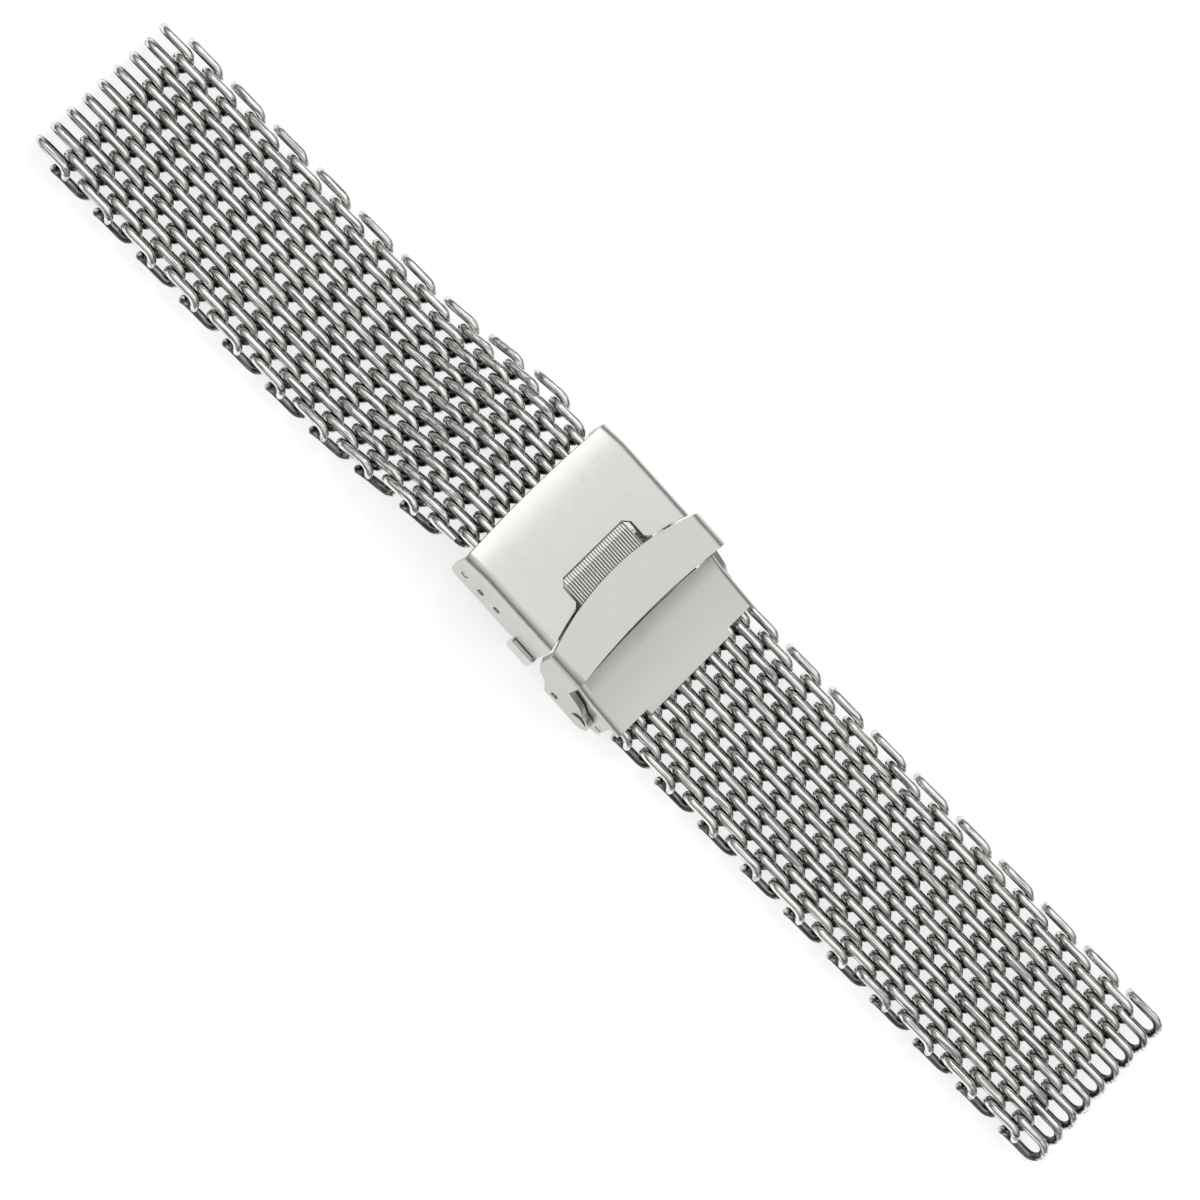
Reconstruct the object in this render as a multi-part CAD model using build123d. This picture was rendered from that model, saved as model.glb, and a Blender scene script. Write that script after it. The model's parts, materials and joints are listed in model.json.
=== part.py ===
"""Shark mesh watch bracelet with a fold-over clasp, lying open and flat.

Each row of the mesh is one round wire wound as a flattened coil, and each coil is screwed
through the next, so that two rows hinge on the wires inside each other. Millimetres.
X runs along the bracelet, Y across it and Z up from the surface that it lies on.
"""
from build123d import *
import math
import os

# wire mesh
wire = 1.12            # wire diameter
side_gap = 0.25        # gap between two runs that lie side by side
run_play = 0.46        # spare room for the wire that passes between upper and lower runs
hinge_play = 0.76      # spare room along the bracelet where two coils hook
row_pitch = 3.70       # from one coil's hinge line to the next
turns = 9
rows_each_side = 20
climb_rows = 9         # rows that climb from the table to the clasp
turn_pitch = (wire + side_gap) * 2         # from one turn of a coil to the next
run_height = wire * 2 + run_play           # from an upper run's middle to a lower run's
coil_length = row_pitch + wire * 2 + hinge_play
mesh_half_width = turns * turn_pitch / 2
mesh_mid_z = (run_height + wire) / 2
bend_radius = math.hypot(run_height, turn_pitch / 2) / 2
lap = (coil_length - row_pitch) / 2
left_run_end = bend_radius + wire / 2 - lap
right_run_end = row_pitch - left_run_end

# clasp frame: its origin is the adjusting bar, S runs along the clasp and W square to it
clasp_tilt = 7.0       # degrees, the end towards the long half lies lower
tilt = math.radians(clasp_tilt)
adjust_bar_x = -12.53  # place of the adjusting bar along the bracelet
sheet = 0.80           # sheet thickness of the clasp's pressings
slip = 0.05            # gap of a pin in its hole
clearance = 0.25       # gap between pieces that move past each other
beyond = 5.00          # how far a cutting block reaches past what it cuts
lengthwise_share = 0.50

# spring bars and pins
bar_radius = 0.75
bar_tip_radius = 0.42
hinge_pin_radius = 0.55

# cover
cover_stand = 0.47     # how far the cover reaches past the outermost runs on each side
cover_half_width = mesh_half_width + cover_stand
cover_inner = cover_half_width - sheet
cover_back = 1.70      # from the adjusting bar to the cover's back edge at its sides
cover_back_bulge = 0.45
cover_front = 13.45    # from the adjusting bar to the cover's front edge at its sides
front_bulge = 2.20     # how far the front edge bows back in the middle
cover_rise = 4.40      # from the bar's axis up to the cover's top
cover_drop = 2.10      # from the bar's axis down to the wall's lower edge
cover_slope = 3.70     # length of the shoulder at the back
cover_slope_drop = 0.85
cover_edge_radius = 1.25
cover_corner_radius = 1.10
notch_depth = 3.20
notch_chamfer = 0.90
notch_back = cover_front - front_bulge - notch_depth
adjust_step = 2.85     # from one adjusting hole to the next
adjust_holes = 3

# push buttons
button_set_back = 1.75 # from the cover's front edge to the button's middle
button_s, button_length = cover_front - button_set_back, 3.90
button_top_w, button_height = -1.55, 2.60
button_reach = 0.55    # how far the button stands out past the cover's wall
button_depth = 0.80    # how far the button reaches inside the cover's wall
button_inside = cover_inner - button_depth
button_radius = 0.60
stem_radius = 0.50
stem_w = -3.00

# folding blades
blade = 0.80
blade_half_width = 8.00
knuckle_radius = 1.15
middle_knuckle_half = 3.00
fold_s, fold_w = 1.93, -5.86
cover_hinge_s, cover_hinge_w = button_s, -1.18
upper_bow = 0.45       # how far the upper blade bows up in its middle
lower_bow = 0.90
lower_foot = 2.40      # length of the wide foot that is welded to the end cover
prong = 1.80           # width of the upper blade's prongs, on each side of the finger pad
fork_half = blade_half_width - prong
ear_plate = 1.00
ear_inner = blade_half_width + slip
ear_outer = ear_inner + ear_plate
ear_low_w = -3.85
ear_lead = 0.45        # how far the ear's upright reaches in front of its pin
stem_depth = 0.25      # how deep the button's stem starts in the ear
stem_end = ear_outer - stem_depth
post_lead, post_width = 1.40, 0.90
post_gap, post_thick = 0.30, 0.90
post_s, post_inner = button_s + post_lead, ear_outer + post_gap
post_low_w, post_top_w = -4.45, -2.20

# flip lock
lock_stand = 0.65      # how far the lock reaches past the cover on each side
lock_half_width = cover_half_width + lock_stand
lock_inner = lock_half_width - sheet
lock_lift = 0.60       # how far the band's top lies above the cover's
lock_rise = cover_rise + lock_lift
lock_back_s = cover_front + clearance
lock_back_bulge = front_bulge * (lock_half_width / cover_half_width) ** 2
lock_side_s = lock_back_s - front_bulge + lock_back_bulge
band_length = 5.20     # length of the band at its sides
lock_front_s = lock_back_s + band_length
lock_front_bulge = 0.85
lock_edge_radius = 1.20
pivot_end_radius = 1.65
neck_reach, neck_w = 1.00, -1.00           # corners of the side plates, from the band's
waist_reach, waist_w = 2.50, -2.15         # back edge round to the pivot
toe_reach, toe_w = 3.45, -4.25
shoulder_back, shoulder_w = 1.20, 0.20
heel_w = 0.50
front_w = 1.10
snap_back, snap_hole_w = 0.50, -3.10       # snap hole, from the band's front edge
snap_hole_radius = 0.55
pad_gap = 0.60         # gap on each side of the finger pad in the fork and in the notch
pad_half_width = fork_half - pad_gap
notch_half_width = pad_half_width + pad_gap
pad_drop, pad_thickness = 0.55, 0.90
pad_top_w = cover_rise - pad_drop
pad_end_radius = 0.80
rib_count = 27
rib_radius = 0.14
rivet_radius = 0.80
rivet_head_radius = 1.15
rivet_head = 0.25

# end cover
end_step_in = 0.35     # how far its sides lie inside the cover's
end_half_width = cover_half_width - end_step_in
end_inner = end_half_width - sheet
end_gap = 0.35         # from the band's front edge to the end cover's
end_start_s, end_start_w = lock_front_s + end_gap, 2.30
end_start_bulge = 0.60
end_shoulder, end_shoulder_w = 1.85, 1.80  # from the end cover's start, and so on below
end_length, end_stop_w = 7.70, 1.35
end_shoulder_s, end_stop_s = end_start_s + end_shoulder, end_start_s + end_length
end_edge_radius = 0.90
end_tongue = 0.80      # how far the middle of the far edge reaches past the sides
end_recess = 5.05      # width of the recess on each side of that middle
end_tongue_half = end_half_width - end_recess
flange_back, flange_low_w = 0.65, -4.20
flange_front, flange_front_w = 6.30, -3.50
flange_back_s, flange_front_s = end_start_s + flange_back, end_start_s + flange_front
flange_radius = 0.80
pivot_in, pivot_w = 3.25, -2.78
pivot_s = end_start_s + pivot_in
end_bar_in, end_bar_w = 5.62, -2.29
end_bar_s = end_start_s + end_bar_in
lower_end_in, lower_end_w = 2.35, -3.52
lower_end_s = end_start_s + lower_end_in
frame_z = mesh_mid_z + end_bar_s * math.sin(tilt) - end_bar_w * math.cos(tilt)


def in_clasp(shape):
    """Put a shape that was made in the clasp frame in its place on the bracelet."""
    return Location((adjust_bar_x, 0, frame_z), (0, clasp_tilt, 0)) * shape


def clasp_point(s, w):
    """The bracelet's X and Z of a point of the clasp frame."""
    return (adjust_bar_x + s * math.cos(tilt) + w * math.sin(tilt),
            frame_z - s * math.sin(tilt) + w * math.cos(tilt))


def cross_rod(s, w, radius, y_from, y_to):
    """A round rod across the clasp."""
    rod = Cylinder(radius, y_to - y_from, rotation=(90, 0, 0))
    return Pos(s, (y_from + y_to) / 2, w) * rod


def cross_slab(outline, y_from, y_to):
    """A closed side outline in S and W, made into a slab across the clasp."""
    face = make_face(Plane.XZ * outline)
    return Pos(0, y_from, 0) * extrude(face, y_to - y_from, dir=Axis.Y.direction)


def plan_slab(outline, w_from, w_to):
    """A closed outline in S and Y, made into a slab square to the clasp."""
    return Pos(0, 0, w_from) * extrude(make_face(outline), w_to - w_from, dir=Axis.Z.direction)


def block(s_from, s_to, y_from, y_to, w_from, w_to):
    """A plain block between two corners."""
    box = Box(s_to - s_from, y_to - y_from, w_to - w_from)
    return Pos((s_from + s_to) / 2, (y_from + y_to) / 2, (w_from + w_to) / 2) * box


def mirrored(shape):
    """A piece of the near or far side with its twin on the other side."""
    return [shape, mirror(shape, about=Plane.XZ)]


def bowed_cut(side_s, middle_s, far_s, half_width, w_from, w_to):
    """A block from a bowed edge, given at its sides and in its middle, to far_s."""
    outline = Wire([
        ThreePointArc((side_s, -half_width), (middle_s, 0), (side_s, half_width)),
        Line((side_s, half_width), (far_s, half_width)),
        Line((far_s, half_width), (far_s, -half_width)),
        Line((far_s, -half_width), (side_s, -half_width)),
    ])
    return plan_slab(outline, w_from, w_to)


def bowed_bar(start, stop, bow, thickness):
    """Side outline of a bowed strip of even thickness from one point to another."""
    span = math.dist(start, stop)
    across = ((start[1] - stop[1]) / span, (stop[0] - start[0]) / span)

    def point(along_share, lift):
        return tuple(start[i] + (stop[i] - start[i]) * along_share + across[i] * lift
                     for i in (0, 1))
    low, high = -thickness / 2, thickness / 2
    half_share = 1 / 2
    return Wire([
        ThreePointArc(point(0, high), point(half_share, bow + high), point(1, high)),
        Line(point(1, high), point(1, low)),
        ThreePointArc(point(1, low), point(half_share, bow + low), point(0, low)),
        Line(point(0, low), point(0, high)),
    ])


def side_rims(shape, half_width):
    """The long upper edges along both sides of a pressing."""
    return [e for e in shape.edges()
            if abs(e.center().Y) > half_width - slip and e.center().Z > 0
            and abs((e @ 1 - e @ 0).X) > e.length * lengthwise_share]


# mesh coils
def bend_point(end_x, outward, y_mid, angle):
    """A point of the half-round bend at one end of the coil, angle 0 at its upper run."""
    return (end_x + outward * bend_radius * math.sin(angle),
            y_mid + outward * turn_pitch / 4 * math.cos(angle),
            run_height / 2 * math.cos(angle))


def bend(end_x, outward, y_mid, start, stop):
    middle = (start + stop) / 2
    return ThreePointArc(*[bend_point(end_x, outward, y_mid, a) for a in (start, middle, stop)])


def coil(first_run_y, upper_runs, closing_run, start_bend=True, end_bend=True):
    """One row of the mesh: a flattened coil, its left hinge line at the origin."""
    quarter = turn_pitch / 4
    edges = []
    if start_bend:
        edges.append(bend(left_run_end, -1, first_run_y + quarter, math.pi / 2, 0))
    for k in range(upper_runs):
        y = first_run_y - k * turn_pitch
        low_y = y - turn_pitch / 2
        upper, lower = run_height / 2, -run_height / 2
        edges.append(Line((left_run_end, y, upper), (right_run_end, y, upper)))
        last = k == upper_runs - 1
        if last and not closing_run:
            if end_bend:
                edges.append(bend(right_run_end, 1, y - quarter, 0, math.pi / 2))
            break
        edges.append(bend(right_run_end, 1, y - quarter, 0, math.pi))
        edges.append(Line((right_run_end, low_y, lower), (left_run_end, low_y, lower)))
        finish = math.pi / 2 if last else 0
        edges.append(bend(left_run_end, -1, low_y - quarter, math.pi, finish))
    path = Wire(edges)
    section = Plane(path @ 0, z_dir=path % 0) * Circle(wire / 2)
    return sweep(section, path)


def mesh_rows():
    """Every coil of both halves in its place, by name."""
    widest_y = mesh_half_width - turn_pitch / 2
    wide = coil(widest_y, turns, False)
    inside_end_cover = coil(widest_y, turns, False, start_bend=False)
    inside_cover = coil(widest_y, turns, False, end_bend=False)
    edge = coil(mesh_half_width, turns, True)
    narrow = coil(mesh_half_width - turn_pitch, turns - 1, False)
    placed = {}
    end_x = clasp_point(end_bar_s, end_bar_w)[0]
    for i in range(rows_each_side):
        x = end_x - left_run_end + i * row_pitch
        kind = inside_end_cover if i == 0 else edge if i % 2 else wide
        placed[f"coil_right_{i + 1:02d}"] = Pos(x, 0, mesh_mid_z) * kind
    for i, (x, z, angle) in enumerate(left_places()):
        kind = (narrow, inside_cover)[i] if i < 2 else wide if i % 2 else edge
        placed[f"coil_left_{i + 1:02d}"] = Location((x, 0, z), (0, -angle, 0)) * kind
    return placed


def left_places():
    """X, Z and climb angle of each left coil's origin, from the clasp to the far end."""
    shares = [math.sin(math.pi * (i + 1 / 2) / climb_rows) ** 2 if i < climb_rows else 0
              for i in range(rows_each_side)]
    reach = [right_run_end if i == 0 else row_pitch for i in range(rows_each_side)]
    x, z = clasp_point(0, 0)
    steepest = (z - mesh_mid_z) / sum(r * share for r, share in zip(reach, shares))
    places = []
    for r, share in zip(reach, shares):
        angle = math.asin(steepest * share)
        x, z = x - r * math.cos(angle), z - r * math.sin(angle)
        places.append((x, z, math.degrees(angle)))
    return places


# spring bars and pins
def spring_bar(s, w, inner_half):
    """A spring bar between two walls: a thick middle and a thin tip in each wall's hole."""
    middle = inner_half - slip
    tip = inner_half + sheet - slip * 2
    return cross_rod(s, w, bar_radius, -middle, middle) + cross_rod(s, w, bar_tip_radius, -tip, tip)


def adjust_bar():
    return spring_bar(0, 0, cover_inner)


def end_bar():
    return spring_bar(end_bar_s, end_bar_w, end_inner)


def fold_pin():
    return cross_rod(fold_s, fold_w, hinge_pin_radius, -blade_half_width, blade_half_width)


def cover_hinge_pins():
    """Two short pins, one through each prong of the upper blade and the ear beside it."""
    pin = cross_rod(cover_hinge_s, cover_hinge_w, hinge_pin_radius, fork_half, ear_outer)
    return Compound(children=mirrored(pin))


def lock_rivets():
    """The two headed rivets that the flip lock swings on."""
    shank = cross_rod(pivot_s, pivot_w, rivet_radius, end_inner, lock_half_width + rivet_head)
    head = cross_rod(pivot_s, pivot_w, rivet_head_radius, lock_half_width + slip,
                     lock_half_width + rivet_head)
    return Compound(children=mirrored(shank + head))


# cover
def cover_profile(lift, reach):
    """Side outline of the cover's block, or of its hollow when lowered and stretched."""
    back = -cover_back - cover_back_bulge
    front, low = cover_front + beyond, -cover_drop - reach
    top = cover_rise + lift
    return Polyline(
        (back - reach, low), (back - reach, top - cover_slope_drop),
        (back, top - cover_slope_drop), (back + cover_slope, top), (front, top), (front, low),
        close=True)


def cover_block():
    back = -cover_back - cover_back_bulge
    front = cover_front + beyond
    top = cover_rise
    outline = Polyline((back, -cover_drop), (back, top - cover_slope_drop),
                       (back + cover_slope, top), (front, top), (front, -cover_drop), close=True)
    solid = cross_slab(outline, -cover_half_width, cover_half_width)
    return fillet(side_rims(solid, cover_half_width), cover_edge_radius)


def finger_notch():
    """The notch in the cover's front edge that leaves room for the lock's finger pad."""
    edge_s = cover_front - front_bulge
    wide, narrow = notch_half_width + notch_chamfer, notch_half_width - notch_chamfer
    half = notch_half_width
    outline = Polyline(
        (edge_s + notch_chamfer, -wide), (edge_s, -half), (notch_back + notch_chamfer, -half),
        (notch_back, -narrow), (notch_back, narrow), (notch_back + notch_chamfer, half),
        (edge_s, half), (edge_s + notch_chamfer, wide), close=True)
    return plan_slab(outline, 0, cover_rise + beyond)


def clasp_cover():
    half = cover_half_width
    wide = half + beyond
    low, high = -cover_drop - beyond, cover_rise + beyond
    shell = cover_block() - cross_slab(cover_profile(-sheet, beyond), -cover_inner, cover_inner)
    shell -= bowed_cut(cover_front, cover_front - front_bulge, cover_front + beyond * 2, half,
                       low, high)
    shell -= block(cover_front, cover_front + beyond * 2, -wide, wide, low, high)
    kept = bowed_cut(-cover_back, -cover_back - cover_back_bulge, cover_front + beyond, half,
                     low, high)
    shell = shell & kept
    shell -= finger_notch()
    corner = block(-cover_back - beyond, cover_corner_radius - cover_back, -wide, wide,
                   low, cover_corner_radius - cover_drop)
    corner -= cross_rod(cover_corner_radius - cover_back, cover_corner_radius - cover_drop,
                        cover_corner_radius, -wide, wide)
    shell -= corner
    for k in range(adjust_holes):
        shell -= cross_rod(k * adjust_step, 0, bar_tip_radius + slip * 2, -wide, wide)
    slot_start = button_s - button_length / 2 - clearance
    return shell - block(slot_start, cover_front + beyond, -wide, wide, low,
                         button_top_w + clearance)


def hinge_ears():
    """Two plates under the cover that hold the hinge pin and guide the buttons' stems."""
    top, outer = cover_rise - sheet, ear_outer
    back = cover_hinge_s - knuckle_radius
    plate = block(back, cover_hinge_s + ear_lead, ear_inner, outer, cover_hinge_w, top)
    plate += block(back, cover_hinge_s + knuckle_radius, ear_inner, outer, ear_low_w, cover_hinge_w)
    plate += cross_rod(cover_hinge_s, cover_hinge_w, knuckle_radius, ear_inner, outer)
    plate -= cross_rod(cover_hinge_s, cover_hinge_w, hinge_pin_radius + slip,
                       ear_inner - ear_plate, outer + ear_plate)
    plate -= cross_rod(button_s, stem_w, stem_radius + slip, ear_inner - ear_plate,
                       outer + ear_plate)
    return Compound(children=mirrored(plate))


# blades
def upper_blade():
    """The middle blade of the fold, from the fold pin up to the cover's hinge pin."""
    half = blade_half_width
    lift = knuckle_radius - blade / 2 - slip
    bar = bowed_bar((fold_s, fold_w + lift), (cover_hinge_s, cover_hinge_w - lift), upper_bow,
                    blade)
    body = cross_slab(bar, -half, half)
    clear = knuckle_radius + clearance
    for y_from, y_to in ((-half, -middle_knuckle_half), (middle_knuckle_half, half)):
        body -= block(fold_s - clear, fold_s + clear, y_from, y_to, fold_w - beyond,
                      fold_w + beyond)
    body += cross_rod(fold_s, fold_w, knuckle_radius, -middle_knuckle_half, middle_knuckle_half)
    body += cross_rod(cover_hinge_s, cover_hinge_w, knuckle_radius, -half, half)
    body -= block(cover_hinge_s - clear, cover_hinge_s + clear, -fork_half, fork_half,
                  cover_hinge_w - beyond, cover_hinge_w + beyond)
    body -= cross_rod(fold_s, fold_w, hinge_pin_radius + slip, -half, half)
    return body - cross_rod(cover_hinge_s, cover_hinge_w, hinge_pin_radius, -half, half)


def lower_blade():
    """The long blade, from the fold pin to its wide foot inside the end cover."""
    half = blade_half_width
    lift = knuckle_radius - blade / 2 - slip
    bar = bowed_bar((fold_s, fold_w - lift), (lower_end_s, lower_end_w), lower_bow, blade)
    body = cross_slab(bar, -end_inner, end_inner)
    foot_s = lower_end_s - lower_foot
    inner = middle_knuckle_half + slip
    clear = knuckle_radius + clearance
    for y_from, y_to in ((-end_inner, -half), (half, end_inner)):
        body -= block(fold_s - beyond, foot_s, y_from, y_to, fold_w - beyond, beyond)
    body -= block(fold_s - clear, fold_s + clear, -inner, inner, fold_w - beyond, fold_w + beyond)
    for y_from, y_to in ((-half, -inner), (inner, half)):
        body += cross_rod(fold_s, fold_w, knuckle_radius, y_from, y_to)
    for side in mirrored(catch_post()):
        body += side
    return body - cross_rod(fold_s, fold_w, hinge_pin_radius, -half, half)


def catch_post():
    """A tab with a post on the long blade's edge, beside the push button's stem."""
    stop_s, outer = post_s + post_width, post_inner + post_thick
    tab = block(post_s, stop_s, blade_half_width - blade, outer, post_low_w, post_low_w + blade)
    return tab + block(post_s, stop_s, post_inner, outer, post_low_w, post_top_w)


# flip lock
def lock_side():
    """One side plate of the lock, from the band down to its pivot."""
    top = lock_rise - sheet
    outline = Polyline(
        (lock_side_s, top), (lock_side_s, heel_w), (lock_back_s + neck_reach, neck_w),
        (lock_back_s + waist_reach, waist_w), (lock_back_s + toe_reach, toe_w),
        (pivot_s, pivot_w - pivot_end_radius), (pivot_s, pivot_w + pivot_end_radius),
        (pivot_s - shoulder_back, shoulder_w),
        (lock_front_s, front_w), (lock_front_s, top), close=True)
    plate = cross_slab(outline, lock_inner, lock_half_width)
    plate += cross_rod(pivot_s, pivot_w, pivot_end_radius, lock_inner, lock_half_width)
    for s, w, radius in ((pivot_s, pivot_w, rivet_radius + slip),
                         (lock_front_s - snap_back, snap_hole_w, snap_hole_radius)):
        plate -= cross_rod(s, w, radius, lock_inner - sheet, lock_half_width + sheet)
    return plate


def lock_band():
    """The band over the clasp, bowed like the cover's front edge."""
    half = lock_half_width
    low, high = lock_rise - sheet, lock_rise
    back = lock_back_s - front_bulge
    band = block(back, lock_front_s, -half, half, heel_w, high)
    band = fillet(side_rims(band, half), lock_edge_radius)
    inner_radius = lock_edge_radius - sheet
    hollow = block(back - sheet, lock_front_s + sheet, -lock_inner, lock_inner, heel_w - sheet, low)
    band -= fillet(side_rims(hollow, lock_inner), inner_radius)
    keep = bowed_cut(lock_side_s, back, lock_front_s + sheet, half, heel_w - sheet, high + sheet)
    cut = bowed_cut(lock_front_s, lock_front_s - lock_front_bulge, lock_front_s + beyond,
                    half, low - sheet, high + sheet)
    return (band & keep) - cut


def finger_pad():
    """The ribbed pad that reaches back from the band into the cover's notch."""
    start_s = notch_back + clearance
    riser_s = lock_back_s - front_bulge + sheet
    low = pad_top_w - pad_thickness
    half = pad_half_width
    pad = block(start_s, riser_s + sheet, -half, half, low, pad_top_w)
    rims = [e for e in pad.edges().filter_by(Axis.Z) if e.center().X < start_s + slip]
    pad = fillet(rims, pad_end_radius)
    rib_step = half * 2 / (rib_count + 1)
    length = riser_s - start_s - pad_end_radius
    for k in range(rib_count):
        rib = Cylinder(rib_radius, length, rotation=(0, 90, 0))
        pad += Pos(start_s + pad_end_radius + length / 2, rib_step * (k + 1) - half, pad_top_w) * rib
    return pad + block(riser_s, riser_s + sheet, -half, half, low, lock_rise - sheet / 2)


def flip_lock():
    body = lock_band() + finger_pad()
    for side in mirrored(lock_side()):
        body += side
    return body


# end cover
def end_profile(lift, reach):
    """Side outline of the end cover's block, or of its hollow when lowered and stretched."""
    back = end_start_s - end_start_bulge - reach
    front = end_stop_s + end_tongue + reach
    fall = (end_stop_w - end_shoulder_w) / (end_stop_s - end_shoulder_s)
    front_w_here = end_stop_w + fall * (front - end_stop_s)
    rise = (end_start_w - end_shoulder_w) / (end_start_s - end_shoulder_s)
    back_w = end_start_w + rise * (back - end_start_s)
    low = flange_low_w - reach
    return Polyline((back, low), (back, back_w + lift), (end_shoulder_s, end_shoulder_w + lift),
                    (front, front_w_here + lift), (front, low), close=True)


def flange_outline():
    """The side walls' outline, which the block is trimmed to below its top plate."""
    top = end_stop_w - sheet
    far, high = end_stop_s + beyond, end_start_w + beyond
    return Polyline(
        (end_start_s - beyond, high), (end_start_s - beyond, front_w),
        (end_start_s, front_w), (flange_back_s, flange_low_w),
        (flange_front_s - flange_radius, flange_low_w), (flange_front_s, flange_front_w),
        (flange_front_s, top), (far, top - sheet), (far, high), close=True)


def end_cover():
    half = end_half_width
    wide = half + beyond
    body = fillet(side_rims(cross_slab(end_profile(0, 0), -half, half), half), end_edge_radius)
    body -= cross_slab(end_profile(-sheet, beyond), -end_inner, end_inner)
    body = body & cross_slab(flange_outline(), -wide, wide)
    start_keep = bowed_cut(end_start_s, end_start_s - end_start_bulge, end_stop_s + beyond, half,
                           flange_low_w - sheet, end_start_w + beyond)
    body = body & start_keep
    for side in mirrored(block(end_stop_s, end_stop_s + beyond, end_tongue_half, wide,
                               flange_low_w, end_start_w + beyond)):
        body -= side
    body -= cross_rod(end_bar_s, end_bar_w, bar_tip_radius + slip, -wide, wide)
    return body - cross_rod(pivot_s, pivot_w, rivet_radius, -wide, wide)


# push buttons
def push_button(side):
    """A rounded button that stands out of the cover's wall, on a stem in the hinge ear."""
    outer = cover_half_width + button_reach
    low = button_top_w - button_height
    pad = block(button_s - button_length / 2, button_s + button_length / 2, button_inside, outer,
                low, button_top_w)
    pad = fillet(pad.edges().filter_by(Axis.Y), button_radius)
    rim = pad.faces().sort_by(Axis.Y)[-1].edges()
    pad = fillet(rim, button_radius / 2)
    button = pad + cross_rod(button_s, stem_w, stem_radius, stem_end, button_inside)
    return button if side > 0 else mirror(button, about=Plane.XZ)


def pieces():
    """Every piece in its place, by name."""
    placed = mesh_rows()
    made = {
        "clasp_cover": clasp_cover(), "cover_hinge_ears": hinge_ears(),
        "adjust_spring_bar": adjust_bar(), "end_spring_bar": end_bar(),
        "fold_hinge_pin": fold_pin(), "cover_hinge_pins": cover_hinge_pins(),
        "lock_pivot_rivets": lock_rivets(), "upper_blade": upper_blade(),
        "lower_blade": lower_blade(), "flip_lock": flip_lock(), "end_cover": end_cover(),
        "push_button_near": push_button(-1), "push_button_far": push_button(1),
    }
    for name, shape in made.items():
        placed[name] = in_clasp(shape)
    return placed


os.makedirs("parts", exist_ok=True)
for name, shape in pieces().items():
    export_step(shape, f"parts/{name}.step")
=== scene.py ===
"""Looks of a shark mesh watch bracelet with a fold-over clasp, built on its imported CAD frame.

Geometry Nodes wind the mesh's wires, one piece for each CAD coil. The clasp's pressings are
copies of their CAD nodes with eased edges. Metres, in the CAD's own frame.
"""

import json
import math

import bpy
from mathutils import Matrix, Vector


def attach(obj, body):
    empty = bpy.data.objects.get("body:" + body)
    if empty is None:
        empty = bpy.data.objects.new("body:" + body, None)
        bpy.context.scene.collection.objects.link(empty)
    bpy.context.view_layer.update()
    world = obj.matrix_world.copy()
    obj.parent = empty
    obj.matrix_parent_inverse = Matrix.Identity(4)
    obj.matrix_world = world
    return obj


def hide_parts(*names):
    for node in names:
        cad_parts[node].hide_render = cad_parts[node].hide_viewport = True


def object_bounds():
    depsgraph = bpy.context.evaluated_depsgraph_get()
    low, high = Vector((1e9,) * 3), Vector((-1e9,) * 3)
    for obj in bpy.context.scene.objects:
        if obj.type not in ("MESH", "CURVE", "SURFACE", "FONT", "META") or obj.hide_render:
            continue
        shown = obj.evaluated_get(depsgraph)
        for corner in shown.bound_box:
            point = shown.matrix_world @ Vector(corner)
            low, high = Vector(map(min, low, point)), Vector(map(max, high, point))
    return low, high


MM = 0.001

# the mesh's wire, as in the CAD
WIRE = 1.12 * MM
ROW_PITCH = 3.70 * MM
COIL_LENGTH = 6.70 * MM
TURN_PITCH = 2.74 * MM
RUN_HEIGHT = 2.70 * MM
TURNS = 9
BEND_RADIUS = math.hypot(RUN_HEIGHT, TURN_PITCH / 2) / 2
LAP = (COIL_LENGTH - ROW_PITCH) / 2
RUN_START = BEND_RADIUS + WIRE / 2 - LAP    # from the left hinge line to the straight runs

# how the wire is drawn
BEND_STEPS = 12
WIRE_SIDES = 16
CUT_END = 0.62              # the wire's thickness at a cut end, as a share
# the wire's painted shade follows this attribute: dark where a point faces into the mesh
SHADE_FACING = "shade_facing"             # attribute that says how far a point faces out of the mesh
FLANK_START = 0.1           # where a row's outer flank starts, in turns inside its first run
FLANK_WEIGHT = 3.0          # how soon the flank faces sideways

# the clasp
CLASP_TILT = 7.0
EASED_EDGE = 0.14 * MM
MERGE_GAP = 0.001 * MM
FLAT_ANGLE = math.radians(1.0)
SHARP_ANGLE = math.radians(35)
NORMAL_WEIGHT = 80
RIB_STEP = 0.40 * MM
PAD_HALF = 5.60 * MM
PAD_FRONT = 12.40 * MM      # from the adjusting bar to where the ribs end
PAD_TOP_Z = (9.35 * MM, 10.40 * MM)
PAD_TOP_RISE = 0.1          # a face of the pad's top points up by more than this
PRESSED_NODES = ("clasp_cover", "flip_lock", "end_cover", "push_button_near", "push_button_far",
                 "upper_blade", "lower_blade", "cover_hinge_ears", "lock_pivot_rivets")
PIN_NODES = ("adjust_spring_bar", "end_spring_bar", "fold_hinge_pin", "cover_hinge_pins")

# steel colours
# painted shade: the near black that the wire's flanks and inward faces are painted with
SHADED_WIRE = (0.07, 0.068, 0.064)
CLOUDED_WIRE = (0.88, 0.875, 0.85)
BRIGHT_WIRE = (0.98, 0.975, 0.95)
COVER_TINT = (0.69, 0.68, 0.648)
BAND_TINT = (0.67, 0.66, 0.625)
BLADE_TINT = (0.70, 0.70, 0.69)
BUTTON_TINT = (0.72, 0.72, 0.70)
# painted shade in the finger pad's grooves and a painted highlight on its ribs' crests
GROOVE_SHADE = (0.22, 0.218, 0.205)
RIB_CREST_LIGHT = (0.90, 0.89, 0.85)
PIN_DARK = (0.50, 0.50, 0.49)
PIN_LIGHT = (0.72, 0.72, 0.71)

# spans of noise that are spread over a finish, and the height of its relief
WHOLE = (0, 1)
BROAD = (0.3, 0.7)
MIDDLE = (0.35, 0.65)
EVEN = (1, 1, 1)            # noise that is drawn out along no axis
RELIEF = 0.06 * MM
RING_RELIEF = 0.02 * MM

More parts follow.
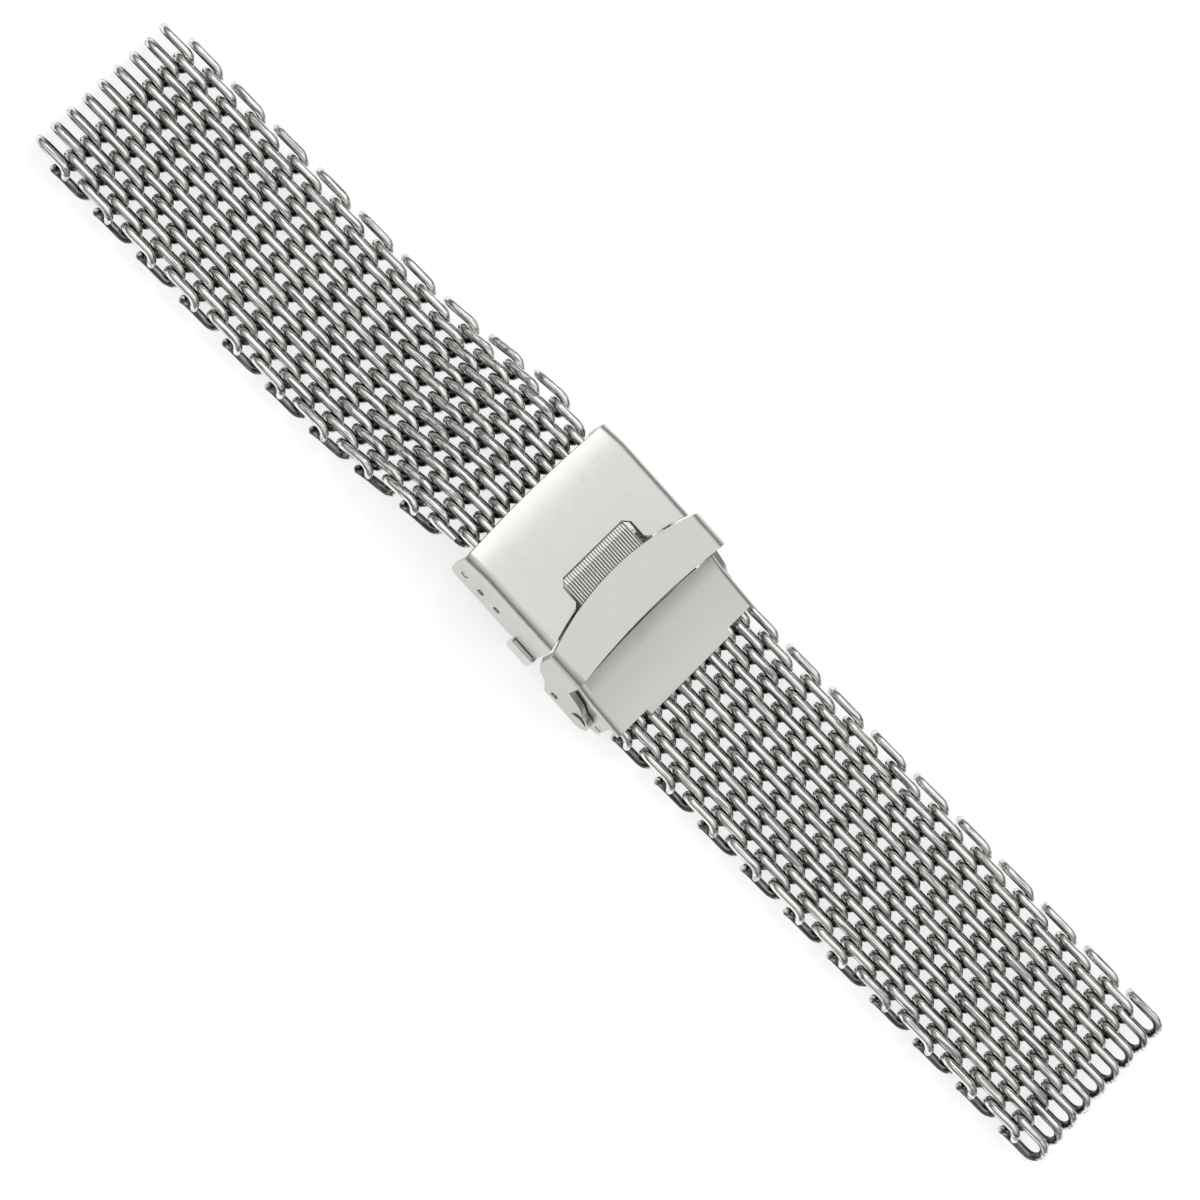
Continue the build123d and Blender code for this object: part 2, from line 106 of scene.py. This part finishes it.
# table, room and lamps
TABLE_HALF = 1.5
TABLE_GAP = 0.02 * MM
TABLE_GREY = 0.55
TABLE_GLOW = 0.70           # brings the table to white for the camera and in reflections
ROOM_HEIGHTS = (0.42, 0.96)
ROOM_STRENGTHS = (0.20, 1.14)
SOFTBOXES = (
    {"name": "softbox_left", "place": (-0.21, 0.30, 0.71), "width": 0.16, "height": 0.40,
     "watts": 0.50},
    {"name": "softbox_back", "place": (0.22, 0.34, 0.72), "width": 0.40, "height": 0.34,
     "watts": 0.19},
)

# the camera, from the photograph
STRAP_TURN = math.radians(45.38)
CAMERA_LEAN = math.radians(22.0)
LOOK_AT = Vector((0.993, 0.326, 0.0)) * MM
PHOTO_WIDTH = 146.2 * MM
LENS = 180.0
CLIP_NEAR, CLIP_FAR = 0.05, 20              # shares of the camera's distance


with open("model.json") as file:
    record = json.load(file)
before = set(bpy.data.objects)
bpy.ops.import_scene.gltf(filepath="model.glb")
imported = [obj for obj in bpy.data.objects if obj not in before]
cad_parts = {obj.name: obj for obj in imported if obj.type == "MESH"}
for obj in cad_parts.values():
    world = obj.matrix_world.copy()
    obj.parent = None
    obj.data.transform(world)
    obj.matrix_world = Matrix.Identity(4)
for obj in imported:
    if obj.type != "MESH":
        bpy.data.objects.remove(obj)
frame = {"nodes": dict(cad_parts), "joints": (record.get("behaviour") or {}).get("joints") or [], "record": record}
cad_low, cad_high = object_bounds()
joint_to = {joint["child"]: joint for joint in frame["joints"]}
joint_named = {joint["name"]: joint for joint in frame["joints"]}


# nodes of any tree
def add(tree, kind, **settings):
    node = tree.nodes.new(kind)
    for key, value in settings.items():
        setattr(node, key, value)
    return node


def math_node(tree, operation, first, second=None):
    """A Math node on numbers or other nodes' outputs."""
    node = add(tree, "ShaderNodeMath", operation=operation)
    for socket, value in zip(node.inputs, (first, second)):
        if value is None:
            continue
        if isinstance(value, (int, float)):
            socket.default_value = value
        else:
            tree.links.new(value, socket)
    return node.outputs[0]


def plus(tree, first, second):
    return math_node(tree, "ADD", first, second)


def minus(tree, first, second):
    return math_node(tree, "SUBTRACT", first, second)


def times(tree, first, second):
    return math_node(tree, "MULTIPLY", first, second)


def over(tree, first, second):
    return math_node(tree, "DIVIDE", first, second)


# materials
def steel_tree(name):
    """A new metal: its material, its node tree and its shader."""
    material = bpy.data.materials.new(name)
    material.use_nodes = True
    tree = material.node_tree
    tree.nodes.clear()
    output = add(tree, "ShaderNodeOutputMaterial")
    surface = add(tree, "ShaderNodeBsdfPrincipled")
    surface.inputs["Metallic"].default_value = 1.0
    tree.links.new(surface.outputs["BSDF"], output.inputs["Surface"])
    return material, tree, surface


def stretched_noise(tree, stretch, scale, detail, turn=(0, 0, 0)):
    """Noise on object coordinates, drawn out along one way like the marks of a brush."""
    place = add(tree, "ShaderNodeTexCoord")
    mapping = add(tree, "ShaderNodeMapping")
    mapping.inputs["Scale"].default_value = stretch
    mapping.inputs["Rotation"].default_value = turn
    tree.links.new(place.outputs["Object"], mapping.inputs["Vector"])
    noise = add(tree, "ShaderNodeTexNoise")
    noise.inputs["Scale"].default_value = scale
    noise.inputs["Detail"].default_value = detail
    tree.links.new(mapping.outputs["Vector"], noise.inputs["Vector"])
    return noise.outputs["Fac"]


def ranged(tree, value, span, to_span):
    """A value's span spread over another span, and clamped to it."""
    node = add(tree, "ShaderNodeMapRange", clamp=True)
    tree.links.new(value, node.inputs["Value"])
    for name, number in zip(("From Min", "From Max", "To Min", "To Max"), (*span, *to_span)):
        node.inputs[name].default_value = number
    return node.outputs["Result"]


def colour_between(tree, factor, first, second):
    """A mix of two colours, each one a plain colour or another node's output."""
    node = add(tree, "ShaderNodeMix", data_type="RGBA")
    tree.links.new(factor, node.inputs["Factor"])
    for name, colour in (("A", first), ("B", second)):
        if isinstance(colour, tuple):
            node.inputs[name].default_value = (*colour, 1)
        else:
            tree.links.new(colour, node.inputs[name])
    return node.outputs["Result"]


def coloured(tree, surface, colour, roughness):
    tree.links.new(colour, surface.inputs["Base Color"])
    tree.links.new(roughness, surface.inputs["Roughness"])


def bumped(tree, surface, height, strength, distance):
    bump = add(tree, "ShaderNodeBump")
    bump.inputs["Strength"].default_value = strength
    bump.inputs["Distance"].default_value = distance
    tree.links.new(height, bump.inputs["Height"])
    tree.links.new(bump.outputs["Normal"], surface.inputs["Normal"])


def polished_wire():
    """Drawn stainless wire with painted shade: bright steel where it faces out of the mesh, painted near black low
    on its flanks and where it faces into the mesh.
    """
    material, tree, surface = steel_tree("polished_wire")
    cloud = stretched_noise(tree, EVEN, scale=900, detail=2)
    marks = stretched_noise(tree, (0.12, 1, 1), scale=9000, detail=3)
    streaks = stretched_noise(tree, (0.10, 1, 1), scale=2600, detail=3)
    drawing = stretched_noise(tree, (0.07, 1, 1), scale=3400, detail=2)
    facing = add(tree, "ShaderNodeAttribute", attribute_name=SHADE_FACING).outputs["Fac"]
    # painted shade: near black where the wire faces sideways or into the mesh, bright steel as it faces out, a
    # little lighter again where it faces straight in
    ragged_facing = plus(tree, facing, ranged(tree, streaks, MIDDLE, (-0.30, 0.30)))
    outside = ranged(tree, ragged_facing, (0.02, 0.56), WHOLE)
    inside = ranged(tree, ragged_facing, (-0.95, -0.50), (0.36, 0))
    lines = ranged(tree, drawing, (0.37, 0.47), (0.30, 1))
    painted_light = times(tree, math_node(tree, "MAXIMUM", outside, inside), lines)
    bright = colour_between(tree, cloud, CLOUDED_WIRE, BRIGHT_WIRE)
    coloured(tree, surface, colour_between(tree, painted_light, SHADED_WIRE, bright),
             ranged(tree, marks, BROAD, (0.19, 0.31)))
    bumped(tree, surface, cloud, 0.25, RELIEF)
    return material


def brushed_clasp(name, stretch, tint, rough):
    """Satin stainless sheet: fine brushing in one direction over broad, soft mottling."""
    material, tree, surface = steel_tree(name)
    tilt = (0, math.radians(CLASP_TILT), 0)
    brushing = stretched_noise(tree, stretch, scale=7000, detail=5, turn=tilt)
    mottle = stretched_noise(tree, EVEN, scale=420, detail=6)
    swell = stretched_noise(tree, EVEN, scale=95, detail=1)
    blend = plus(tree, times(tree, brushing, 0.6), times(tree, mottle, 0.4))
    dark = tuple(c * 0.90 for c in tint)
    light = tuple(min(1.0, c * 1.06) for c in tint)
    coloured(tree, surface, colour_between(tree, ranged(tree, blend, MIDDLE, WHOLE), dark, light),
             ranged(tree, blend, BROAD, (rough - 0.05, rough + 0.08)))
    relief = plus(tree, times(tree, brushing, 0.10), times(tree, swell, 4.0))
    bumped(tree, surface, relief, 0.30, RELIEF)
    return material


def ribbed_pad():
    """The band's steel with the ribs' light and shade painted on: painted shade in the grooves between the finger
    pad's ribs and a painted highlight on their crests.
    """
    material, tree, surface = steel_tree("ribbed_pad")
    place = add(tree, "ShaderNodeTexCoord")
    split = add(tree, "ShaderNodeSeparateXYZ")
    tree.links.new(place.outputs["Object"], split.inputs[0])
    wave = math_node(tree, "COSINE", times(tree, split.outputs["Y"], 2 * math.pi / RIB_STEP))
    grain = stretched_noise(tree, EVEN, scale=1500, detail=3)
    crest = plus(tree, wave, ranged(tree, grain, BROAD, (-0.2, 0.2)))
    shade = ranged(tree, crest, (-0.7, 0.7), WHOLE)
    coloured(tree, surface, colour_between(tree, shade, GROOVE_SHADE, RIB_CREST_LIGHT),
             ranged(tree, grain, BROAD, (0.28, 0.40)))
    return material


def turned_pin():
    """Turned steel of pins, bars and rivets, with fine rings round the axis."""
    material, tree, surface = steel_tree("turned_pin")
    rings = stretched_noise(tree, (0.1, 3, 0.1), scale=4000, detail=3)
    coloured(tree, surface, colour_between(tree, rings, PIN_DARK, PIN_LIGHT),
             ranged(tree, rings, BROAD, (0.22, 0.36)))
    bumped(tree, surface, rings, 0.15, RING_RELIEF)
    return material


wire_steel = polished_wire()
cover_steel = brushed_clasp("brushed_cover", (0.10, 1, 1), COVER_TINT, 0.34)
band_steel = brushed_clasp("brushed_band", (1, 0.10, 1), BAND_TINT, 0.36)
blade_steel = brushed_clasp("brushed_blade", (0.10, 1, 1), BLADE_TINT, 0.30)
button_steel = brushed_clasp("brushed_button", (0.15, 1, 1), BUTTON_TINT, 0.24)
pin_steel = turned_pin()
pad_steel = ribbed_pad()

CLASP_FINISH = {
    "clasp_cover": cover_steel, "end_cover": cover_steel, "flip_lock": band_steel,
    "upper_blade": blade_steel, "lower_blade": blade_steel, "cover_hinge_ears": blade_steel,
    "push_button_near": button_steel, "push_button_far": button_steel,
    "lock_pivot_rivets": pin_steel,
}


# the mesh's coils
COIL_INPUTS = (
    ("Half Turns", "NodeSocketInt"), ("First Run", "NodeSocketFloat"),
    ("Wire Radius", "NodeSocketFloat"), ("Turn Pitch", "NodeSocketFloat"),
    ("Run Height", "NodeSocketFloat"), ("Bend Radius", "NodeSocketFloat"),
    ("Run Start", "NodeSocketFloat"), ("Row Pitch", "NodeSocketFloat"),
    ("Start Cut", "NodeSocketInt"), ("End Cut", "NodeSocketInt"),
    ("Material", "NodeSocketMaterial"),
)
POINTS_A_RUN = BEND_STEPS + 1       # points on one half turn: a bend and the run before it


def combined(tree, x, y, z):
    point = add(tree, "ShaderNodeCombineXYZ")
    for socket, value in zip(point.inputs, (x, y, z)):
        tree.links.new(value, socket)
    return point.outputs[0]


def winding_line(tree, size, index, count, half_run):
    """The coil's middle line, its points placed by their number along the winding."""
    counted = minus(tree, plus(tree, index, size["Start Cut"]), POINTS_A_RUN - BEND_STEPS // 2)
    # half a point is added so that rounding can't drop a point into the half turn before
    half_turn = math_node(tree, "FLOOR", over(tree, plus(tree, counted, 0.5), POINTS_A_RUN))
    along = minus(tree, counted, times(tree, half_turn, POINTS_A_RUN))
    phase = times(tree, along, math.pi / BEND_STEPS)
    cosine = math_node(tree, "COSINE", phase)
    # +1 on an upper run and its right bend, -1 on a lower run and its left bend
    side = math_node(tree, "COSINE", times(tree, half_turn, math.pi))

    bulge = times(tree, size["Bend Radius"], math_node(tree, "SINE", phase))
    x = plus(tree, over(tree, size["Row Pitch"], 2.0),
             times(tree, side, plus(tree, half_run, bulge)))
    quarters = plus(tree, times(tree, half_turn, 2.0), minus(tree, 1.0, cosine))
    y = minus(tree, size["First Run"], times(tree, quarters, over(tree, size["Turn Pitch"], 4.0)))
    z = times(tree, times(tree, side, cosine), over(tree, size["Run Height"], 2.0))

    line = add(tree, "GeometryNodeCurvePrimitiveLine")
    spread = add(tree, "GeometryNodeResampleCurve")
    tree.links.new(line.outputs[0], spread.inputs["Curve"])
    tree.links.new(count, spread.inputs["Count"])
    placed = add(tree, "GeometryNodeSetPosition")
    tree.links.new(spread.outputs[0], placed.inputs["Geometry"])
    tree.links.new(combined(tree, x, y, z), placed.inputs["Position"])
    return placed.outputs[0]


def round_wire(tree, size, index, count, line):
    """A round wire along the line, its cut ends rounded off."""
    from_end = math_node(tree, "MINIMUM", index, minus(tree, minus(tree, count, 1.0), index))
    taper = math_node(tree, "MINIMUM", plus(tree, times(tree, from_end, 1 - CUT_END), CUT_END), 1.0)
    ring = add(tree, "GeometryNodeCurvePrimitiveCircle")
    ring.inputs["Resolution"].default_value = WIRE_SIDES
    tree.links.new(size["Wire Radius"], ring.inputs["Radius"])
    wire = add(tree, "GeometryNodeCurveToMesh")
    tree.links.new(line, wire.inputs["Curve"])
    tree.links.new(ring.outputs[0], wire.inputs["Profile Curve"])
    tree.links.new(taper, wire.inputs["Scale"])
    wire.inputs["Fill Caps"].default_value = True
    return wire.outputs[0]


def facing_for_shade(tree, size, half_run, wire):
    """The wire with how far each point faces out of the mesh stored on it, which the wire's material uses to paint
    shade.
    """
    spot = add(tree, "ShaderNodeSeparateXYZ")
    tree.links.new(add(tree, "GeometryNodeInputPosition").outputs[0], spot.inputs[0])
    off_middle = minus(tree, spot.outputs["X"], over(tree, size["Row Pitch"], 2.0))
    past_run = minus(tree, math_node(tree, "ABSOLUTE", off_middle), half_run)
    lengthwise = times(tree, math_node(tree, "MAXIMUM", past_run, 0.0),
                       math_node(tree, "SIGN", off_middle))
    # the outermost runs also face out of the mesh's sides
    flank = minus(tree, size["First Run"], times(tree, size["Turn Pitch"], FLANK_START))
    past_flank = minus(tree, math_node(tree, "ABSOLUTE", spot.outputs["Y"]), flank)
    sideways = times(tree, times(tree, math_node(tree, "MAXIMUM", past_flank, 0.0), FLANK_WEIGHT),
                     math_node(tree, "SIGN", spot.outputs["Y"]))
    outward = add(tree, "ShaderNodeVectorMath", operation="NORMALIZE")
    tree.links.new(combined(tree, lengthwise, sideways, spot.outputs["Z"]), outward.inputs[0])
    facing = add(tree, "ShaderNodeVectorMath", operation="DOT_PRODUCT")
    tree.links.new(outward.outputs[0], facing.inputs[0])
    tree.links.new(add(tree, "GeometryNodeInputNormal").outputs[0], facing.inputs[1])
    shade_facing = add(tree, "GeometryNodeStoreNamedAttribute", data_type="FLOAT", domain="POINT")
    shade_facing.inputs["Name"].default_value = SHADE_FACING
    tree.links.new(wire, shade_facing.inputs["Geometry"])
    tree.links.new(facing.outputs["Value"], shade_facing.inputs["Value"])
    return shade_facing.outputs[0]


def coil_tree():
    """Geometry Nodes for one flattened coil, its sizes as inputs."""
    tree = bpy.data.node_groups.new("wound_coil", "GeometryNodeTree")
    tree.interface.new_socket(name="Geometry", in_out="OUTPUT", socket_type="NodeSocketGeometry")
    for name, kind in COIL_INPUTS:
        tree.interface.new_socket(name=name, in_out="INPUT", socket_type=kind)
    size = add(tree, "NodeGroupInput").outputs
    index = add(tree, "GeometryNodeInputIndex").outputs[0]
    whole = plus(tree, times(tree, size["Half Turns"], POINTS_A_RUN), 1)
    count = minus(tree, minus(tree, whole, size["Start Cut"]), size["End Cut"])
    half_run = minus(tree, over(tree, size["Row Pitch"], 2.0), size["Run Start"])

    line = winding_line(tree, size, index, count, half_run)
    wire = facing_for_shade(tree, size, half_run, round_wire(tree, size, index, count, line))
    smooth = add(tree, "GeometryNodeSetShadeSmooth")
    tree.links.new(wire, smooth.inputs["Geometry"])
    real = add(tree, "GeometryNodeRealizeInstances")
    tree.links.new(smooth.outputs[0], real.inputs[0])
    finish = add(tree, "GeometryNodeSetMaterial")
    tree.links.new(real.outputs[0], finish.inputs["Geometry"])
    tree.links.new(size["Material"], finish.inputs["Material"])
    tree.links.new(finish.outputs[0], add(tree, "NodeGroupOutput").inputs[0])
    return tree


def wound_mesh(tree, half_turns, first_run, start_cut=0, end_cut=0):
    """The plain mesh of one kind of coil, its left hinge line at the origin."""
    seed = bpy.data.objects.new("coil_seed", bpy.data.meshes.new("coil_seed"))
    bpy.context.scene.collection.objects.link(seed)
    modifier = seed.modifiers.new("wound_coil", "NODES")
    modifier.node_group = tree
    values = {"Half Turns": half_turns, "First Run": first_run, "Wire Radius": WIRE / 2,
              "Turn Pitch": TURN_PITCH, "Run Height": RUN_HEIGHT, "Bend Radius": BEND_RADIUS,
              "Run Start": RUN_START, "Row Pitch": ROW_PITCH, "Material": wire_steel,
              "Start Cut": start_cut, "End Cut": end_cut}
    for item in tree.interface.items_tree:
        if item.in_out == "INPUT":
            modifier[item.identifier] = values[item.name]
    seed.update_tag()
    graph = bpy.context.evaluated_depsgraph_get()
    made = bpy.data.meshes.new_from_object(seed.evaluated_get(graph))
    bpy.data.objects.remove(seed)
    return made


def coil_kinds():
    """Each kind of coil once. The two that hang on spring bars lack the bend at the clasp."""
    tree = coil_tree()
    half_turns, first_run = 2 * TURNS - 1, (TURNS - 1) / 2 * TURN_PITCH
    half_bend = BEND_STEPS // 2
    return {
        "wide": wound_mesh(tree, half_turns, first_run),
        "edge": wound_mesh(tree, 2 * TURNS, TURNS / 2 * TURN_PITCH),
        "narrow": wound_mesh(tree, 2 * TURNS - 3, (TURNS / 2 - 1) * TURN_PITCH),
        "in_end_cover": wound_mesh(tree, half_turns, first_run, start_cut=half_bend),
        "in_cover": wound_mesh(tree, half_turns, first_run, end_cut=half_bend),
    }


def coil_piece(name, shape, origin, climb):
    """One coil's piece, its left hinge line at origin, turned up by climb."""
    shape = shape.copy()
    shape.transform(Matrix.Translation(origin) @ Matrix.Rotation(-climb, 4, "Y"))
    piece = bpy.data.objects.new(name + "_wire", shape)
    bpy.context.scene.collection.objects.link(piece)
    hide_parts(name)
    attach(piece, name)


def hinge_of(name):
    return Vector(joint_to[name]["pos_m"])


def wind_right_half(kinds):
    names = sorted(name for name in joint_to if name.startswith("coil_right"))
    for i, name in enumerate(names):
        origin = hinge_of(name) - Vector((RUN_START, 0, 0)) if i == 0 else hinge_of(name)
        kind = "in_end_cover" if i == 0 else "edge" if i % 2 else "wide"
        coil_piece(name, kinds[kind], origin, 0.0)


def wind_left_half(kinds):
    names = sorted(name for name in joint_to if name.startswith("coil_left"))
    for i, name in enumerate(names):
        near = hinge_of(name)
        far = hinge_of(names[i + 1]) if i + 1 < len(names) else near - Vector((ROW_PITCH, 0, 0))
        climb = math.atan2(near.z - far.z, near.x - far.x)
        kind = ("narrow", "in_cover")[i] if i < 2 else "wide" if i % 2 else "edge"
        coil_piece(name, kinds[kind], far, climb)


wires = coil_kinds()
wind_right_half(wires)
wind_left_half(wires)


# the clasp's pressings
def eased_copy(node_name):
    """A copy of a CAD node with its sharp edges eased, as tumbling leaves them."""
    node = frame["nodes"][node_name]
    piece = node.copy()
    piece.data = node.data.copy()
    piece.name = node_name + "_eased"
    bpy.context.scene.collection.objects.link(piece)
    if "custom_normal" in piece.data.attributes:
        piece.data.attributes.remove(piece.data.attributes["custom_normal"])
    for polygon in piece.data.polygons:
        polygon.use_smooth = True
    merge = piece.modifiers.new("merge", "WELD")
    merge.merge_threshold = MERGE_GAP
    flat = piece.modifiers.new("flat", "DECIMATE")
    flat.decimate_type = "DISSOLVE"
    flat.angle_limit = FLAT_ANGLE
    ease = piece.modifiers.new("ease", "BEVEL")
    ease.width = EASED_EDGE
    ease.segments = 2
    ease.limit_method = "ANGLE"
    ease.angle_limit = SHARP_ANGLE
    corners = piece.modifiers.new("corners", "TRIANGULATE")
    corners.keep_custom_normals = True
    even = piece.modifiers.new("even", "WEIGHTED_NORMAL")
    even.weight = NORMAL_WEIGHT
    graph = bpy.context.evaluated_depsgraph_get()
    shape = bpy.data.meshes.new_from_object(piece.evaluated_get(graph))
    piece.modifiers.clear()
    piece.data = shape
    return piece


def body_holding(node_name):
    bodies = frame["record"]["behaviour"]["bodies"]
    return next(body for body, members in bodies.items() if node_name in members)


def line_finger_pad(shape):
    """Give the ribs on top of the lock's finger pad their own material, which paints shade in the grooves and a
    highlight on the crests.
    """
    bar_x = joint_named["left_01_hinge"]["pos_m"][0]
    shape.materials.append(pad_steel)
    for face in shape.polygons:
        x, y, z = face.center
        on_pad = abs(y) < PAD_HALF and x < bar_x + PAD_FRONT
        if on_pad and PAD_TOP_Z[0] < z < PAD_TOP_Z[1] and face.normal.z > PAD_TOP_RISE:
            face.material_index = 1


def finish_pressings():
    for name in PRESSED_NODES:
        piece = eased_copy(name)
        piece.data.materials.clear()
        piece.data.materials.append(CLASP_FINISH[name])
        if name == "flip_lock":
            line_finger_pad(piece.data)
        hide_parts(name)
        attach(piece, body_holding(name))


def finish_pins():
    """The pins and bars stay as they are in the CAD, with a better material."""
    for name in PIN_NODES:
        shape = frame["nodes"][name].data
        shape.materials.clear()
        shape.materials.append(pin_steel)


finish_pressings()
finish_pins()


# table, light and camera
def white_table():
    """A pale table that the camera and the steel see white, and that keeps the shadow."""
    material = bpy.data.materials.new("white_table")
    material.use_nodes = True
    tree = material.node_tree
    surface = tree.nodes["Principled BSDF"]
    surface.inputs["Base Color"].default_value = (TABLE_GREY, TABLE_GREY, TABLE_GREY, 1)
    surface.inputs["Roughness"].default_value = 0.9
    surface.inputs["Specular IOR Level"].default_value = 0.0
    path = add(tree, "ShaderNodeLightPath").outputs
    seen = math_node(tree, "MAXIMUM", path["Is Camera Ray"],
                     math_node(tree, "MAXIMUM", path["Is Glossy Ray"],
                               path["Is Transmission Ray"]))
    glow = add(tree, "ShaderNodeEmission")
    tree.links.new(times(tree, seen, TABLE_GLOW), glow.inputs["Strength"])
    both = add(tree, "ShaderNodeAddShader")
    tree.links.new(surface.outputs[0], both.inputs[0])
    tree.links.new(glow.outputs[0], both.inputs[1])
    tree.links.new(both.outputs[0], tree.nodes["Material Output"].inputs["Surface"])
    shape = bpy.data.meshes.new("table_top")
    half = TABLE_HALF
    corners = [(-half, -half, 0), (half, -half, 0), (half, half, 0), (-half, half, 0)]
    shape.from_pydata(corners, [], [(0, 1, 2, 3)])
    shape.materials.append(material)
    table = bpy.data.objects.new("table_top", shape)
    table.location.z = cad_low[2] - TABLE_GAP
    bpy.context.scene.collection.objects.link(table)


def studio_world():
    """A room that is bright overhead and darker towards the horizon, seen white by the camera."""
    world = bpy.data.worlds.new("studio")
    bpy.context.scene.world = world
    world.use_nodes = True
    tree = world.node_tree
    tree.nodes.clear()
    place = add(tree, "ShaderNodeTexCoord")
    split = add(tree, "ShaderNodeSeparateXYZ")
    tree.links.new(place.outputs["Generated"], split.inputs[0])
    sky = add(tree, "ShaderNodeBackground")
    overhead = ranged(tree, split.outputs["Z"], ROOM_HEIGHTS, ROOM_STRENGTHS)
    tree.links.new(overhead, sky.inputs["Strength"])
    backdrop = add(tree, "ShaderNodeBackground")
    path = add(tree, "ShaderNodeLightPath")
    choose = add(tree, "ShaderNodeMixShader")
    tree.links.new(path.outputs["Is Camera Ray"], choose.inputs[0])
    tree.links.new(sky.outputs[0], choose.inputs[1])
    tree.links.new(backdrop.outputs[0], choose.inputs[2])
    output = add(tree, "ShaderNodeOutputWorld")
    tree.links.new(choose.outputs[0], output.inputs["Surface"])


def softbox(name, place, width, height, watts):
    """A soft rectangular lamp that points at the bracelet's middle."""
    lamp = bpy.data.lights.new(name, "AREA")
    lamp.shape = "RECTANGLE"
    lamp.size, lamp.size_y = width, height
    lamp.energy = watts
    holder = bpy.data.objects.new(name, lamp)
    holder.location = place
    holder.rotation_mode = "QUATERNION"
    holder.rotation_quaternion = (-Vector(place)).to_track_quat("-Z", "Y")
    bpy.context.scene.collection.objects.link(holder)


def photo_camera():
    """The photograph's view: turned against the strap, and leaning back from straight down."""
    turn, lean = STRAP_TURN, CAMERA_LEAN
    right = Vector((math.cos(turn), math.sin(turn) * math.cos(lean),
                    math.sin(turn) * math.sin(lean)))
    up = Vector((-math.sin(turn), math.cos(turn) * math.cos(lean),
                 math.cos(turn) * math.sin(lean)))
    back = right.cross(up)
    lens = bpy.data.cameras.new("photo_camera")
    lens.lens = LENS
    camera = bpy.data.objects.new("photo_camera", lens)
    distance = PHOTO_WIDTH * lens.lens / lens.sensor_width
    place = LOOK_AT + back * distance
    camera.matrix_world = Matrix((
        (right.x, up.x, back.x, place.x), (right.y, up.y, back.y, place.y),
        (right.z, up.z, back.z, place.z), (0, 0, 0, 1)))
    lens.clip_start, lens.clip_end = distance * CLIP_NEAR, distance * CLIP_FAR
    bpy.context.scene.collection.objects.link(camera)
    bpy.context.scene.camera = camera


white_table()
studio_world()
for box in SOFTBOXES:
    softbox(**box)
photo_camera()
bpy.context.scene.view_settings.view_transform = "Standard"
